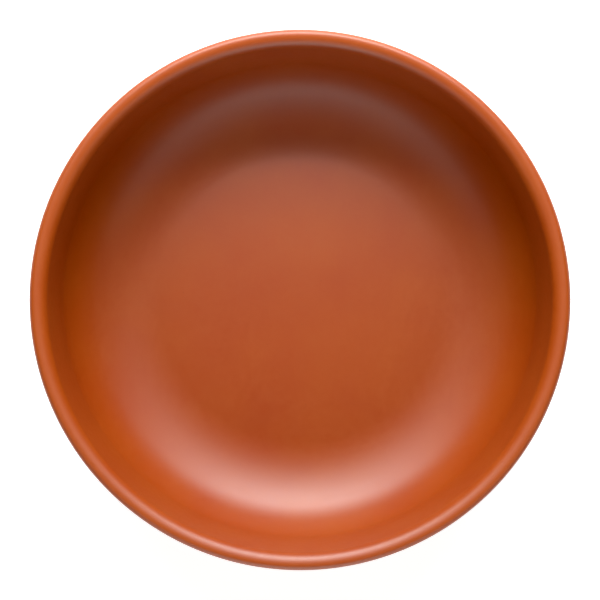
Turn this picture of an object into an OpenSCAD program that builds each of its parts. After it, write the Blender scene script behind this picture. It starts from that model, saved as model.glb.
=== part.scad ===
// Low round stoneware bowl: a low domed floor, a wide cove, a steep wall, a full lip and a turned foot ring.
// The origin is the centre of the foot ring, on the surface that the bowl stands on. +Z is up. Millimetres.

/* [Bowl] */
// Outside diameter at the widest part of the lip
bowl_d = 200; // [180:1:230]
// Height from the underside of the foot to the crest of the lip
bowl_h = 57; // [51:1:62]

/* [Inside] */
// Diameter of the domed floor, to where the cove starts
floor_d = 110; // [100:1:116]
// Slope of the floor down to its edge, in degrees
floor_slope = 3; // [1:0.5:4]
// Slope at which the wide cove passes into the bend below the wall, in degrees
flare_slope = 29; // [24:1:34]
// Radius of the bend below the wall
bend_r = 23; // [18:0.5:26]
// Slope of the wall, in degrees from level
wall_slope = 81; // [76:1:83]

/* [Lip] */
// Radius of the lip's rounding on the inside
lip_inner_r = 4.6; // [4:0.1:5.5]
// Radius of the lip's rounding on the outside
lip_outer_r = 2.1; // [1.5:0.1:2.5]

/* [Foot] */
// Step from the floor's edge in to the outside of the foot ring
foot_inset = 4; // [3:0.5:10]
// Width of the foot ring
foot_w = 5; // [4:0.5:7]
// Depth of the recess inside the foot ring
foot_recess = 3.2; // [3.2:0.1:4.5]
// Radius of the fillets where the foot ring meets the body
foot_fillet_r = 2; // [1:0.1:2]
// Radius of the foot ring's lower edges
foot_edge_r = 0.8; // [0.4:0.1:0.9]

/* [Glaze] */
// Thickness of the fired glaze
glaze_t = 0.4; // [0.2:0.05:0.6]
// How far the glaze runs down the inside of the foot ring, in degrees of its fillet
glaze_turn = 50; // [20:5:70]

/* [Hidden] */

glaze_colour = "#C2582C";
clay_colour = "#C9AE8B";

// Facets round the bowl, and the steps of each rounding in the outline
round_fn = 180;
floor_steps = 5;
cove_steps = 14;
bend_steps = 16;
lip_steps = 14;
fillet_steps = 8;

// The lip's two roundings meet at the crest, on one radius from the axis
crest_r = bowl_d / 2 - lip_outer_r;

// The outer wall is parallel to the inner one, so the two roundings set the thickness of the wall
wall_t = lip_inner_r + lip_outer_r - (lip_inner_r - lip_outer_r) * cos(wall_slope);

// The clay is as thick at the floor's edge as in the wall, and the dome adds a little in the middle
edge_z = foot_recess + wall_t;
floor_r = floor_d / 2 / sin(floor_slope);

// Cove, bend, wall and lip are tangent to one another, so the radius of the cove follows from the width
// and the height that are left between the floor's edge and the crest
span_r = crest_r - floor_d / 2 - lip_inner_r * sin(wall_slope)
    - bend_r * (sin(wall_slope) - sin(flare_slope));
span_z = bowl_h - edge_z - lip_inner_r * (1 - cos(wall_slope))
    - bend_r * (cos(flare_slope) - cos(wall_slope));
cove_r = (span_r * sin(wall_slope) - span_z * cos(wall_slope))
    / (cos(wall_slope - flare_slope) - cos(wall_slope + floor_slope));

// Centres of the floor's dome, the cove, the bend and the lip's two roundings
floor_c = [0, edge_z - floor_r * cos(floor_slope)];
cove_c = [floor_d / 2 + cove_r * sin(floor_slope), edge_z + cove_r * cos(floor_slope)];
bend_c = cove_c + (cove_r - bend_r) * [sin(flare_slope), -cos(flare_slope)];
lip_inner_c = [crest_r, bowl_h - lip_inner_r];
lip_outer_c = [crest_r, bowl_h - lip_outer_r];

// Foot ring: its two sides, the level clay outside it, and the fillets on its two sides
foot_out_r = floor_d / 2 - foot_inset;
foot_in_r = foot_out_r - foot_w;
under_z = cove_c[1] - cove_r - wall_t + glaze_t;
fillet_out_c = [foot_out_r + foot_fillet_r, under_z - foot_fillet_r];
fillet_in_c = [foot_in_r - foot_fillet_r, foot_recess - foot_fillet_r];

// Points of an arc about c. Angle a is measured from straight down, towards the outside.
function arc(c, r, from, to, steps) =
    [for (i = [0 : steps]) let (a = from + (to - from) * i / steps) c + r * [sin(a), -cos(a)]];

function reversed(points) = [for (i = [len(points) - 1 : -1 : 0]) points[i]];

// The glazed outline from the axis, over the lip, to the glaze line, moved by "inset" into the clay
function skin(inset) = concat(
    arc(floor_c, floor_r - inset, 180, 180 - floor_slope, floor_steps),
    arc(cove_c, cove_r + inset, -floor_slope, flare_slope, cove_steps),
    arc(bend_c, bend_r + inset, flare_slope, wall_slope, bend_steps),
    arc(lip_inner_c, lip_inner_r - inset, wall_slope - 180, -180, lip_steps),
    arc(lip_outer_c, lip_outer_r - inset, 180, wall_slope, 2 * lip_steps),
    arc(bend_c, bend_r + wall_t - inset, wall_slope, flare_slope, bend_steps),
    arc(cove_c, cove_r + wall_t - inset, flare_slope, 0, cove_steps)
);

// The recess inside the foot ring, from the axis to the glaze's end, moved by "inset" away from the clay
function recess(inset, turn) = concat(
    [[0, foot_recess - inset]],
    arc(fillet_in_c, foot_fillet_r - inset, 180, 180 - turn, fillet_steps)
);

// The foot ring, from the outer fillet to the top of its inner side
function foot() = concat(
    arc(fillet_out_c, foot_fillet_r, -180, -90, fillet_steps),
    arc([foot_out_r - foot_edge_r, foot_edge_r], foot_edge_r, 90, 0, fillet_steps),
    arc([foot_in_r + foot_edge_r, foot_edge_r], foot_edge_r, 0, -90, fillet_steps)
);

module turned(points) {
    rotate_extrude($fn = round_fn)
        polygon(points);
}

module clay_body() {
    color(clay_colour)
        turned(concat(skin(glaze_t), foot(), reversed(recess(0, 90))));
}

module glaze_coat() {
    color(glaze_colour)
        turned(concat(skin(0), reversed(skin(glaze_t))));
}

module base_glaze() {
    color(glaze_colour)
        turned(concat(recess(0, glaze_turn), reversed(recess(glaze_t, glaze_turn))));
}

clay_body();
glaze_coat();
base_glaze();
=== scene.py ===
import math

import bpy
import numpy as np
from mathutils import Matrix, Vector


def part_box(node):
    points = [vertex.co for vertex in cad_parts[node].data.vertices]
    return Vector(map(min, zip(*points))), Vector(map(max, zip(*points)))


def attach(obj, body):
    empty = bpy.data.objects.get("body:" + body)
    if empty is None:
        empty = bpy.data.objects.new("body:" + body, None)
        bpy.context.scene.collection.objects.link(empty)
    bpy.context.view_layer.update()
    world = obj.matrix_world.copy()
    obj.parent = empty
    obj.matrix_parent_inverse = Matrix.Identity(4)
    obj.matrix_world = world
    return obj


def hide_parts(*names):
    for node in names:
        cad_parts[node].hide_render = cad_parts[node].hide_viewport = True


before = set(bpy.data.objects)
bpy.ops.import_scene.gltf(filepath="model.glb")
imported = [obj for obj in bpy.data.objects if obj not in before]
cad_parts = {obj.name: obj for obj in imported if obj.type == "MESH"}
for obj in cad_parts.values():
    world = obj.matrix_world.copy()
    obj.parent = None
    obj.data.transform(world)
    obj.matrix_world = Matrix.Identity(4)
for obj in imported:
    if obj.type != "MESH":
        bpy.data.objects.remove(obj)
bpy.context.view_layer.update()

mm = 0.001
scene = bpy.context.scene
scene.view_settings.view_transform = "Standard"  # the colours stay as they are set
scene.view_settings.use_curve_mapping = True
scene.view_settings.curve_mapping.black_level = (0.003, 0.003, 0.003)  # a touch of contrast
scene.view_settings.curve_mapping.update()


def toLinear(code):
    # sRGB hex to the linear colour that the shaders take
    parts = [int(code[i:i + 2], 16) / 255 for i in (1, 3, 5)]
    return [p / 12.92 if p <= 0.04045 else ((p + 0.055) / 1.055) ** 2.4 for p in parts] + [1]


def addNode(tree, kind, settings=None, inputs=None, links=None):
    # one node with its settings, its fixed inputs and what feeds it
    node = tree.nodes.new(kind)
    for name, value in (settings or {}).items():
        setattr(node, name, value)
    for name, value in (inputs or {}).items():
        node.inputs[name].default_value = value
    for name, socket in (links or {}).items():
        tree.links.new(socket, node.inputs[name])
    return node


def newMaterial(name, finish):
    # a Principled surface with the values that are the same all over set on its own sockets
    material = bpy.data.materials.new(name)
    material.use_nodes = True
    tree = material.node_tree
    tree.nodes.clear()
    surface = addNode(tree, "ShaderNodeBsdfPrincipled", inputs=finish)
    addNode(tree, "ShaderNodeOutputMaterial", links={"Surface": surface.outputs["BSDF"]})
    return material, tree, surface


noiseRange = (0.3, 0.7)  # where nearly all of a noise texture's values lie


def addNoise(tree, place, size, detail):
    # a noise texture with patches of a size in mm
    noise = addNode(tree, "ShaderNodeTexNoise", inputs={"Scale": 1 / (size * mm), "Detail": detail},
                    links={"Vector": place})
    return noise.outputs["Fac"]


def addRange(tree, value, source, result=(0, 1), ease="LINEAR"):
    # a value that runs over the source range, brought to the result range
    ends = {"From Min": source[0], "From Max": source[1], "To Min": result[0], "To Max": result[1]}
    spread = addNode(tree, "ShaderNodeMapRange", {"interpolation_type": ease}, ends, {"Value": value})
    return spread.outputs["Result"]


def addMix(tree, share, under, over):
    # the colour under is a colour or the socket of one, and the colour over is a colour
    mix = addNode(tree, "ShaderNodeMix", {"data_type": "RGBA"}, {"B": over}, {"Factor": share})
    if isinstance(under, list):
        mix.inputs["A"].default_value = under
    else:
        tree.links.new(under, mix.inputs["A"])
    return mix.outputs["Result"]


def addSpots(tree, place, spacing, radius, core, share):
    # round spots, with sizes in mm, that are full strength over the core of their radius
    cells = addNode(tree, "ShaderNodeTexVoronoi", inputs={"Scale": 1 / (spacing * mm)},
                    links={"Vector": place})
    edge = radius / spacing
    return addRange(tree, cells.outputs["Distance"], (edge, edge * core), (0, share), "SMOOTHSTEP")


def addBump(tree, surface, height, depth):
    bump = addNode(tree, "ShaderNodeBump", inputs={"Strength": 1.0, "Distance": depth * mm},
                   links={"Height": height})
    tree.links.new(bump.outputs["Normal"], surface.inputs["Normal"])


# the bowl's outline, in mm and degrees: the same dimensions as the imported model's
bowl = {
    "radius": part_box("glaze_coat")[1].x / mm,
    "height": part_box("glaze_coat")[1].z / mm,
    "recess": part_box("base_glaze")[1].z / mm,  # how far the underside stands above the table
    "floorAcross": 110.0,
    "floorSlope": 3.0,  # the floor is a low dome that falls this much at its edge
    "flareSlope": 29.0,  # where the cove passes into the bend
    "bendRadius": 23.0,
    "wallSlope": 81.0,
    "lipInside": 4.6,  # radii of the lip's two roundings
    "lipOutside": 2.1,
    "footInset": 4.0,
    "footWide": 5.0,
    "footFillet": 2.0,
    "footEdge": 0.8,
    "glazeThick": 0.4,
}


def clayStretches():
    # The clay under the glaze, from the middle of the floor, over the lip, round the foot, to the middle
    # of the underside. The cove and the wall take up what the other stretches leave.
    t = bowl["glazeThick"]
    f, v, w = [math.radians(bowl[name]) for name in ("floorSlope", "flareSlope", "wallSlope")]
    inside, outside, bend = bowl["lipInside"], bowl["lipOutside"], bowl["bendRadius"]
    thick = inside + outside - (inside - outside) * math.cos(w)
    half = bowl["floorAcross"] / 2
    edgeHeight = bowl["recess"] + thick
    across = bowl["radius"] - outside - half - inside * math.sin(w) - bend * (math.sin(w) - math.sin(v))
    upward = bowl["height"] - edgeHeight - inside * (1 - math.cos(w)) - bend * (math.cos(v) - math.cos(w))
    cove = (across * math.sin(w) - upward * math.cos(w)) / (math.cos(w - v) - math.cos(w + f))
    wall = (upward - cove * (math.cos(f) - math.cos(v))) / math.sin(w)
    levelStart = half + cove * math.sin(f)
    underside = edgeHeight + cove * math.cos(f) - cove - thick + t
    footOut = half - bowl["footInset"]
    footIn = footOut - bowl["footWide"]
    fillet, edge = bowl["footFillet"], bowl["footEdge"]
    start = (0, edgeHeight + half * math.tan(f / 2) - t)
    stretches = [
        {"name": "floor", "turn": half / math.sin(f) - t, "to": -bowl["floorSlope"]},
        {"name": "cove", "turn": cove + t, "to": bowl["flareSlope"]},
        {"name": "bend", "turn": bend + t, "to": bowl["wallSlope"]},
        {"name": "wall", "run": wall},
        {"name": "lipInside", "turn": inside - t, "to": 0},
        {"name": "lipOutside", "turn": outside - t, "to": bowl["wallSlope"] - 180},
        {"name": "outerWall", "run": wall + (inside - outside) * math.sin(w)},
        {"name": "outerBend", "turn": bend + thick - t, "to": bowl["flareSlope"] - 180},
        {"name": "outerCove", "turn": cove + thick - t, "to": -180},
        {"name": "underside", "run": levelStart - footOut - fillet},
        {"name": "footFillet", "turn": fillet, "to": -90},
        {"name": "footOutside", "run": underside - fillet - edge},
        {"name": "outerEdge", "turn": edge, "to": -180},
        {"name": "land", "run": bowl["footWide"] - 2 * edge},
        {"name": "innerEdge", "turn": edge, "to": -270},
        {"name": "footInside", "run": bowl["recess"] - fillet - edge},
        {"name": "recessFillet", "turn": fillet, "to": -180},
        {"name": "recessBase", "run": footIn - fillet},
    ]
    return start, stretches


def walkOutline(start, stretches, step=0.1):
    # A pen walks the outline with the air on its left. Each stretch turns on a radius to a new heading, or
    # runs straight. Columns: length walked, radius, height, heading in degrees.
    x, z = start
    heading = walked = 0.0
    rows = [(walked, x, z, heading)]
    begins = {}
    for stretch in stretches:
        begins[stretch["name"]] = walked
        turned = stretch.get("to", heading) - heading
        length = stretch.get("run") or stretch["turn"] * abs(math.radians(turned))
        side = math.copysign(1, turned)
        a = math.radians(heading)
        count = math.ceil(length / step)
        for i in range(1, count + 1):
            part = i / count
            if "run" in stretch:
                rows.append((walked + length * part, x + length * part * math.cos(a),
                             z + length * part * math.sin(a), heading))
            else:
                b = math.radians(heading + turned * part)
                rows.append((walked + length * part,
                             x + side * stretch["turn"] * (math.sin(b) - math.sin(a)),
                             z + side * stretch["turn"] * (math.cos(a) - math.cos(b)),
                             heading + turned * part))
        walked += length
        heading += turned
        x, z = rows[-1][1:3]
    begins["end"] = walked
    return np.array(rows), begins


outline, begins = walkOutline(*clayStretches())
print("outline:", round(begins["end"], 1), "mm long, ends", round(outline[-1, 1], 4), "mm from the axis")


def ringPlaces(spacing, first=None, last=None):
    # ring places along the outline, with each stretch's own spacing, between two stretches' beginnings
    names = list(begins)
    names = names[names.index(first or names[0]):names.index(last or "end") + 1]
    places = [begins[names[0]]]
    for name, after in zip(names, names[1:]):
        length = begins[after] - begins[name]
        count = max(1, round(length / spacing.get(name, spacing["other"])))
        places += [begins[name] + length * i / count for i in range(1, count + 1)]
    return np.array(places)


turning = {  # how round the bowl is: small errors of the wheel and the kiln, shared by every piece
    "segments": 256,
    "outOfRound": [(2, 0.05, 0.7), (3, 0.03, 2.1)],  # lobes, mm at the lip, phase
    "rimWave": [(2, 0.06, 1.9), (5, 0.02, 0.4)],
}
around = np.arange(turning["segments"]) * 2 * math.pi / turning["segments"]


def lobes(waves):
    return sum(size * np.cos(count * around + phase) for count, size, phase in waves)


def raised(places, height):
    # radius and height, in mm, of points that stand off the clay by a height, at places on its outline
    walked, radius, level, heading = outline.T
    a = np.radians(np.interp(places, walked, heading))
    r = np.interp(places, walked, radius) - height * np.sin(a)
    z = np.interp(places, walked, level) + height * np.cos(a)
    return r, z


def turnedPiece(name, r, z, fields, material, node):
    # A closed mesh from rings that start and end on the axis. Fields are values kept at each ring's points.
    share = np.clip(r / bowl["radius"], 0, 1)
    x = (r + share * lobes(turning["outOfRound"])) * np.cos(around)
    y = (r + share * lobes(turning["outOfRound"])) * np.sin(around)
    z = z + share ** 4 * lobes(turning["rimWave"])
    rings, segments = r.shape
    points = np.stack([x, y, z], axis=2)[1:-1].reshape(-1, 3)
    poles = np.array([[0, 0, z[0].mean()], [0, 0, z[-1].mean()]])
    points = np.vstack([points, poles]) * mm
    startPole, endPole = len(points) - 2, len(points) - 1
    here = np.arange(segments)
    after = (here + 1) % segments
    faces = [(startPole, a, b) for a, b in zip(here.tolist(), after.tolist())]
    for ring in range(rings - 3):
        low, high = ring * segments, (ring + 1) * segments
        quads = np.stack([low + here, high + here, high + after, low + after], axis=1)
        faces += quads.tolist()
    lastRing = (rings - 3) * segments
    faces += [(lastRing + a, endPole, lastRing + b) for a, b in zip(here.tolist(), after.tolist())]
    mesh = bpy.data.meshes.new(name)
    mesh.from_pydata(points.tolist(), [], faces)
    mesh.polygons.foreach_set("use_smooth", [True] * len(mesh.polygons))
    for field, values in fields.items():
        values = np.broadcast_to(values, r.shape)
        ends = [values[0].mean(), values[-1].mean()]
        attribute = mesh.attributes.new(field, "FLOAT", "POINT")
        attribute.data.foreach_set("value", np.append(values[1:-1].ravel(), ends).astype(np.float32))
    mesh.update()
    mesh.materials.append(material)
    piece = bpy.data.objects.new(name, mesh)
    scene.collection.objects.link(piece)
    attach(piece, "root")
    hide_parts(node)
    print(name + ":", len(mesh.vertices), "points,", len(mesh.polygons), "faces")
    return piece


def turningLines(places, first, last, seed, gap, depth):
    # shallow uneven grooves that a turning tool leaves along a part of the outline
    rng = np.random.default_rng(seed)
    lines = np.zeros_like(places)
    at = begins[first]
    while at < begins[last]:
        at += gap * rng.uniform(0.6, 1.5)
        lines -= depth * rng.uniform(0.3, 1) * np.exp(-((places - at) / (gap * rng.uniform(0.2, 0.4))) ** 2)
    return lines * (places > begins[first]) * (places < begins[last])


# Iron-red satin glaze on stoneware, dipped and fired in an electric kiln. Tiny crystals in its surface
# spread each highlight into a broad soft glow, and it is a little lighter where it runs thin on the lip.
satinGlaze = {
    "finish": {"IOR": 1.5},
    "body": "#883402",
    "cloud": "#8D3C06",
    "thin": "#9C4711",
    "thick": "#6A2603",
    "pit": "#4A1B05",
    "cloudSize": 24.0,  # mm: drifts in the coat's thickness from dipping
    "mottleSize": 2.2,  # mm: where crystals have grown closer
    "mottleShare": 0.45,
    "driftRange": (0.45, 1.0),
    "thinCoat": (0.38, 0.3),  # mm: thickness at which the thin colour starts and is strongest
    "thinShare": 0.35,
    "thickCoat": (0.43, 0.62),
    "thickShare": 0.75,
    "peelSize": 3.2,  # mm: the skin's faint orange peel
    "peelDepth": 0.006,
    "pitSpacing": 4.5,  # mm: pinholes, where gas left the melt
    "pitRadius": 0.16,
    "pitShare": 0.6,
    "roughness": (0.41, 0.45),
}


def makeSatinGlaze(look):
    material, tree, surface = newMaterial("satinIronGlaze", look["finish"])
    place = addNode(tree, "ShaderNodeTexCoord").outputs["Object"]
    thickness = addNode(tree, "ShaderNodeAttribute", {"attribute_name": "coat"}).outputs["Fac"]
    cloud = addNoise(tree, place, look["cloudSize"], 2)
    mottle = addNoise(tree, place, look["mottleSize"], 4)
    drift = addNode(tree, "ShaderNodeMath", {"operation": "MULTIPLY_ADD"}, {1: look["mottleShare"]},
                    {0: mottle, 2: cloud})
    driftShare = addRange(tree, drift.outputs["Value"], look["driftRange"])
    clouded = addMix(tree, driftShare, toLinear(look["body"]), toLinear(look["cloud"]))
    thinShare = addRange(tree, thickness, look["thinCoat"], (0, look["thinShare"]))
    thinned = addMix(tree, thinShare, clouded, toLinear(look["thin"]))
    thickShare = addRange(tree, thickness, look["thickCoat"], (0, look["thickShare"]))
    thickened = addMix(tree, thickShare, thinned, toLinear(look["thick"]))
    pits = addSpots(tree, place, look["pitSpacing"], look["pitRadius"], 0.4, look["pitShare"])
    pitted = addMix(tree, pits, thickened, toLinear(look["pit"]))
    tree.links.new(pitted, surface.inputs["Base Color"])
    tree.links.new(addRange(tree, mottle, noiseRange, look["roughness"]), surface.inputs["Roughness"])
    peel = addNoise(tree, place, look["peelSize"], 3)
    skin = addNode(tree, "ShaderNodeMath", {"operation": "SUBTRACT"}, links={0: peel, 1: pits})
    addBump(tree, surface, skin.outputs["Value"], look["peelDepth"])
    return material


# Buff stoneware, turned on the wheel and fired bare. It is dry and faintly gritty, so it has no highlight,
# with iron specks and an orange flash where it meets the glaze.
bareStoneware = {
    "finish": {"IOR": 1.5},
    "pale": "#C9AE88",
    "dark": "#AD8C63",
    "flash": "#A4683A",
    "speck": "#55331F",
    "gritSize": 0.5,  # mm
    "gritDepth": 0.03,
    "blotchSize": 9.0,
    "gritShare": 0.6,
    "toneRange": (0.55, 1.05),
    "speckSpacing": 1.7,
    "speckRadius": 0.2,
    "speckShare": 0.8,
    "flashRange": (2.6, 0.2),  # mm from the glaze, where the flash ends and where it is strongest
    "flashShare": 0.8,
    "roughness": (0.8, 0.92),
}


def makeBareStoneware(look):
    material, tree, surface = newMaterial("bareStoneware", look["finish"])
    place = addNode(tree, "ShaderNodeTexCoord").outputs["Object"]
    fromGlaze = addNode(tree, "ShaderNodeAttribute", {"attribute_name": "fromGlaze"}).outputs["Fac"]
    grit = addNoise(tree, place, look["gritSize"], 3)
    blotch = addNoise(tree, place, look["blotchSize"], 4)
    tone = addNode(tree, "ShaderNodeMath", {"operation": "MULTIPLY_ADD"}, {1: look["gritShare"]},
                   {0: grit, 2: blotch})
    toneShare = addRange(tree, tone.outputs["Value"], look["toneRange"])
    clay = addMix(tree, toneShare, toLinear(look["dark"]), toLinear(look["pale"]))
    nearGlaze = addRange(tree, fromGlaze, look["flashRange"], (0, look["flashShare"]), "SMOOTHSTEP")
    flashShare = addNode(tree, "ShaderNodeMath", {"operation": "MULTIPLY"}, links={0: nearGlaze, 1: blotch})
    flashed = addMix(tree, flashShare.outputs["Value"], clay, toLinear(look["flash"]))
    specks = addSpots(tree, place, look["speckSpacing"], look["speckRadius"], 0.5, look["speckShare"])
    specked = addMix(tree, specks, flashed, toLinear(look["speck"]))
    tree.links.new(specked, surface.inputs["Base Color"])
    tree.links.new(addRange(tree, grit, noiseRange, look["roughness"]), surface.inputs["Roughness"])
    addBump(tree, surface, grit, look["gritDepth"])
    return material


glazeMaterial = makeSatinGlaze(satinGlaze)
clayMaterial = makeBareStoneware(bareStoneware)
print("materials: satin glaze and bare stoneware")


# the coat over the inside, the lip and the outside, which ends in a soft roll above the foot
coat = {
    "spacing": {"lipInside": 0.3, "lipOutside": 0.16, "other": 1.15},
    "hiddenSpacing": {"lipInside": 0.6, "lipOutside": 0.3, "other": 3.0},
    "sunk": 0.05,  # the hidden side lies this far in the clay
    "setBack": 1.6,  # from the level clay at the foot up to the glaze line
    "lineZone": 4.0,  # above the line, where the rings follow its wave and crowd together
    "lineRings": 16,
    "lineCrowding": 1.6,
    "leadRings": 22,  # from the start of the outer cove to that zone
    "lineWave": [(3, 0.18, 0.9), (5, 0.14, 2.6), (8, 0.1, 4.4), (13, 0.06, 1.2), (21, 0.04, 3.3)],
    "edgeRound": 0.6,
    "roll": 0.2,  # extra thickness just above the line, where the melt has run down
    "rollAbove": 1.3,
    "rollWide": 0.9,
    "lipThin": 0.1,
    "lipThinWide": 3.5,
    "throwing": 0.006,  # mm: what is left of the throwing rings, inside
    "throwingGap": 17.0,
    "turningGap": 2.4,
    "turningDepth": 0.035,
}


def makeGlazeCoat():
    places = ringPlaces(coat["spacing"], last="outerCove")
    leadFrom = begins["outerCove"]
    line = begins["underside"] - coat["setBack"] + lobes(coat["lineWave"])
    share = np.linspace(0, 1, coat["leadRings"])[1:]
    nearLine = 1 - np.linspace(1, 0, coat["lineRings"])[1:] ** coat["lineCrowding"]
    last = begins["underside"] - coat["setBack"] - coat["lineZone"]
    lead = leadFrom + (last - leadFrom) * share
    places = np.append(places, lead)[:, None] + np.zeros_like(line)
    places = np.vstack([places, last + (line - last) * nearLine[:, None]])
    toLine = line - places
    thick = np.full_like(places, bowl["glazeThick"])
    thick -= coat["lipThin"] * np.exp(-((places - begins["lipOutside"]) / coat["lipThinWide"]) ** 2)
    thick += coat["roll"] * np.exp(-((toLine - coat["rollAbove"]) / coat["rollWide"]) ** 2)
    throwing = np.sin(places * 2 * math.pi / coat["throwingGap"] + around)
    thick += coat["throwing"] * throwing * (places < begins["wall"])
    thick += turningLines(places, "outerWall", "underside", 7, coat["turningGap"], coat["turningDepth"])
    rounding = 1 - np.clip(toLine / coat["edgeRound"], 0, 1)
    thick *= np.sqrt(1 - rounding ** 2)
    thick -= coat["sunk"] * (toLine <= 0)
    r, z = raised(places, thick)
    hidden = ringPlaces(coat["hiddenSpacing"], last="outerCove")
    hidden = np.append(hidden, leadFrom + (last - leadFrom) * share[::3])[::-1, None] + np.zeros_like(line)
    rBack, zBack = raised(hidden, -coat["sunk"])
    fields = {"coat": np.vstack([thick, np.full_like(rBack, bowl["glazeThick"])])}
    r = np.vstack([r, rBack])
    z = np.vstack([z, zBack])
    return turnedPiece("glazeCoat", r, z, fields, glazeMaterial, "glaze_coat")


makeGlazeCoat()


# the patch of glaze inside the foot ring, over the turned recess
patch = {
    "turned": 50.0,  # degrees of the fillet that it covers
    "lineWave": [(2, 0.08, 1.1), (4, 0.07, 3.0), (7, 0.05, 0.3), (12, 0.03, 2.2)],
    "edgeRound": 0.4,
    "sunk": 0.05,
    "groovePitch": 3.4,  # the spiral that the turning tool left, softened by the glaze
    "grooveDepth": 0.05,
    "grooveFrom": 4.0,  # mm from the axis, where the spiral starts and ends, and over how far it fades
    "grooveTo": 42.0,
    "grooveFade": 4.0,
    "lineRings": 14,
    "lineCrowding": 1.5,
    "spacing": 0.6,
    "hiddenSpacing": 4.0,
    "button": 1.8,  # radius of the nib at the middle
    "buttonHeight": 0.12,
}


def makeBaseGlaze():
    filletLength = begins["recessBase"] - begins["recessFillet"]
    line = begins["recessBase"] - filletLength * patch["turned"] / 90 + lobes(patch["lineWave"])
    share = np.linspace(0, 1, patch["lineRings"])[1:] ** patch["lineCrowding"]
    near = line + (begins["recessBase"] - line) * share[:, None]
    far = ringPlaces({"other": patch["spacing"]}, first="recessBase")[1:, None] + np.zeros_like(line)
    places = np.vstack([line[None, :], near, far])
    fromLine = places - line
    middle = begins["end"] - places  # distance from the axis on the flat of the recess
    thick = np.full_like(places, bowl["glazeThick"])
    spiral = np.cos(2 * math.pi * middle / patch["groovePitch"] + around)
    fadeIn = np.clip((middle - patch["grooveFrom"]) / patch["grooveFade"], 0, 1)
    fadeOut = np.clip((patch["grooveTo"] - middle) / patch["grooveFade"], 0, 1)
    thick += patch["grooveDepth"] * spiral * fadeIn * fadeOut
    thick += patch["buttonHeight"] * np.exp(-(middle / patch["button"]) ** 2)
    rounding = 1 - np.clip(fromLine / patch["edgeRound"], 0, 1)
    thick *= np.sqrt(1 - rounding ** 2)
    thick -= patch["sunk"] * (fromLine <= 0)
    r, z = raised(places, thick)
    behind = ringPlaces({"other": patch["hiddenSpacing"]}, first="recessBase")[1:]
    hidden = np.append(near[::4, :1], behind)
    rBack, zBack = raised(hidden[::-1, None] + np.zeros_like(line), -patch["sunk"])
    fields = {"coat": np.vstack([np.full_like(rBack, bowl["glazeThick"]), thick])}
    r = np.vstack([rBack, r])
    z = np.vstack([zBack, z])
    return turnedPiece("baseGlaze", r, z, fields, glazeMaterial, "base_glaze")


makeBaseGlaze()


# the clay body: only the foot ring and the clay beside it show
body = {
    "spacing": {"lipInside": 0.8, "lipOutside": 0.4, "underside": 0.3, "footFillet": 0.25,
                "footOutside": 0.2, "outerEdge": 0.14, "land": 0.22, "innerEdge": 0.14, "footInside": 0.2,
                "recessFillet": 0.25, "recessBase": 3.0, "other": 3.2},
    "turningGap": 0.9,
    "turningDepth": 0.03,
    "landSunk": 0.03,  # mm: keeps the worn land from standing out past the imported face
    "landWear": [(2, 0.012, 0.2), (5, 0.008, 1.7), (9, 0.006, 4.0), (17, 0.004, 2.9)],
}


def makeClayBody():
    places = ringPlaces(body["spacing"])[:, None] + np.zeros_like(around)
    height = turningLines(places, "underside", "outerEdge", 3, body["turningGap"], body["turningDepth"])
    height += turningLines(places, "footInside", "recessBase", 5, body["turningGap"], body["turningDepth"])
    onLand = (places >= begins["outerEdge"]) * (places <= begins["footInside"])
    height += onLand * (lobes(body["landWear"]) - body["landSunk"])
    r, z = raised(places, height)
    lineOutside = begins["underside"] - coat["setBack"]
    lineInside = begins["recessBase"]
    fromGlaze = np.minimum(np.abs(places - lineOutside), np.abs(places - lineInside))
    fields = {"fromGlaze": fromGlaze}
    return turnedPiece("clayBody", r, z, fields, clayMaterial, "clay_body")


makeClayBody()


# Seamless pale floor, lit from within like a light table. Its glow is lowered under the bowl as a painted
# shadow, and raised far away as painted light, up to the brightness of the room behind it.
floorLook = {
    "colour": "#EDEDEB",
    "glow": 0.66,
    "across": 6.0,
    "paintedShadow": {"from": 0.04, "to": 0.1, "fade": 0.5},  # painted shadow: metres from the axis, and how much glow it loses under the bowl
    # painted light: metres from the axis over which the floor gains glow far away, and how much
    "farPaintedLight": {"from": 0.35, "to": 1.6, "gain": 0.21},
}


def makeFloor():
    material, tree, surface = newMaterial("paleFloor", {
        "Base Color": toLinear(floorLook["colour"]), "Roughness": 0.9, "Specular IOR Level": 0.0,
        "Emission Color": (1, 1, 1, 1)})
    place = addNode(tree, "ShaderNodeTexCoord").outputs["Object"]
    away = addNode(tree, "ShaderNodeVectorMath", {"operation": "LENGTH"}, links={0: place}).outputs["Value"]
    paintedShadow, farPaintedLight, full = floorLook["paintedShadow"], floorLook["farPaintedLight"], floorLook["glow"]
    # painted shadow under the bowl and painted light far away, both in the floor's glow
    near = addRange(tree, away, (paintedShadow["from"], paintedShadow["to"]), (full - paintedShadow["fade"], full), "SMOOTHSTEP")
    far = addRange(tree, away, (farPaintedLight["from"], farPaintedLight["to"]), (0, farPaintedLight["gain"]), "SMOOTHSTEP")
    glow = addNode(tree, "ShaderNodeMath", {"operation": "ADD"}, links={0: near, 1: far})
    tree.links.new(glow.outputs["Value"], surface.inputs["Emission Strength"])
    half = floorLook["across"] / 2
    mesh = bpy.data.meshes.new("studioFloor")
    corners = [(-half, -half, 0), (half, -half, 0), (half, half, 0), (-half, half, 0)]
    mesh.from_pydata(corners, [], [(0, 1, 2, 3)])
    mesh.materials.append(material)
    floor = bpy.data.objects.new("studioFloor", mesh)
    scene.collection.objects.link(floor)


makeFloor()


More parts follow.
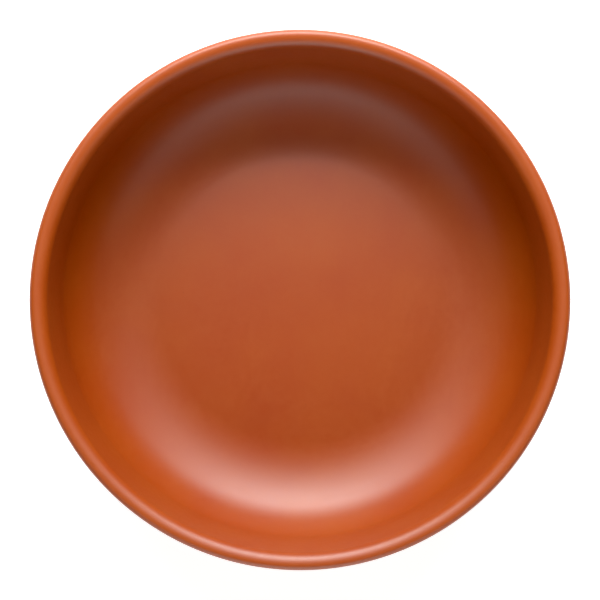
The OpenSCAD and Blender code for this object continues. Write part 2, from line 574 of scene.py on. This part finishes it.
# Soft boxes round the bowl: direction in degrees as seen from the middle of its mouth, size in metres.
# The key is one tall bank, brightest in the middle; the fill faces it from low down.
studio = {
    "keyCore": {"azimuth": 90, "elevation": 43, "away": 0.7, "wide": 0.36, "high": 0.03, "glow": 12.9},
    "keyStrip": {"azimuth": 90, "elevation": 42, "away": 0.7, "wide": 0.44, "high": 0.06, "glow": 5.9},
    "keyGlow": {"azimuth": 90, "elevation": 45, "away": 0.7, "wide": 0.62, "high": 0.08, "glow": 13.5},
    "bankFoot": {"azimuth": 90, "elevation": 15, "away": 0.8, "wide": 0.55, "high": 0.2, "glow": 3.6},
    "bankLow": {"azimuth": 90, "elevation": 27, "away": 0.8, "wide": 0.55, "high": 0.2, "glow": 7.7},
    "bankMiddle": {"azimuth": 90, "elevation": 38, "away": 0.8, "wide": 0.55, "high": 0.2, "glow": 11.6},
    "bankTop": {"azimuth": 90, "elevation": 63, "away": 0.8, "wide": 0.55, "high": 0.2, "glow": 6.8},
    "bankScreen": {"azimuth": 90, "elevation": 35, "away": 1.0, "wide": 1.3, "high": 0.5, "glow": 3.6},
    "fillFoot": {"azimuth": 270, "elevation": 6, "away": 0.9, "wide": 0.9, "high": 0.2, "glow": 2.5},
    "fillLow": {"azimuth": 270, "elevation": 12, "away": 0.9, "wide": 0.6, "high": 0.22, "glow": 3.0},
    "fillBox": {"azimuth": 270, "elevation": 30, "away": 1.0, "wide": 1.2, "high": 0.4, "glow": 2.15},
    "leftCorner": {"azimuth": 225, "elevation": 45, "away": 0.9, "wide": 0.45, "high": 0.3, "glow": 1.5},
    "rightCorner": {"azimuth": 315, "elevation": 45, "away": 0.9, "wide": 0.45, "high": 0.3, "glow": 1.5},
}
mouth = Vector((0, 0, bowl["height"] * mm))


def makeLights():
    for name, look in studio.items():
        a, e = math.radians(look["azimuth"]), math.radians(look["elevation"])
        toward = Vector((math.cos(a) * math.cos(e), math.sin(a) * math.cos(e), math.sin(e)))
        lamp = bpy.data.lights.new(name, "AREA")
        lamp.shape = "RECTANGLE"
        lamp.size, lamp.size_y = look["wide"], look["high"]
        lamp.energy = look["glow"] * math.pi * look["wide"] * look["high"]
        box = bpy.data.objects.new(name, lamp)
        box.location = mouth + toward * look["away"]
        box.rotation_euler = toward.to_track_quat("Z", "Y").to_euler()
        box.visible_camera = False
        scene.collection.objects.link(box)


makeLights()

room = {"seen": "#F4F4F3", "seenStrength": 1.0, "lit": 0.01}


def makeRoom():
    # a pale room behind the bowl, which gives little light of its own
    world = bpy.data.worlds.new("studioRoom")
    scene.world = world
    world.use_nodes = True
    tree = world.node_tree
    tree.nodes.clear()
    seen = addNode(tree, "ShaderNodeBackground",
                   inputs={"Color": toLinear(room["seen"]), "Strength": room["seenStrength"]})
    lit = addNode(tree, "ShaderNodeBackground", inputs={"Color": (1, 1, 1, 1), "Strength": room["lit"]})
    path = addNode(tree, "ShaderNodeLightPath")
    mix = addNode(tree, "ShaderNodeMixShader",
                  links={0: path.outputs["Is Camera Ray"], 1: lit.outputs["Background"],
                         2: seen.outputs["Background"]})
    addNode(tree, "ShaderNodeOutputWorld", links={"Surface": mix.outputs["Shader"]})


makeRoom()

view = {"above": 0.9415, "across": 0.2212}  # metres above the mouth, and what the frame takes in there


def makeCamera():
    lens = bpy.data.cameras.new("overheadCamera")
    lens.sensor_width = 36
    lens.lens = lens.sensor_width * view["above"] / view["across"]
    camera = bpy.data.objects.new("overheadCamera", lens)
    camera.location = mouth + Vector((0, 0, view["above"]))
    scene.collection.objects.link(camera)
    scene.camera = camera


makeCamera()
print("studio: floor,", len(studio), "lights, room and camera")
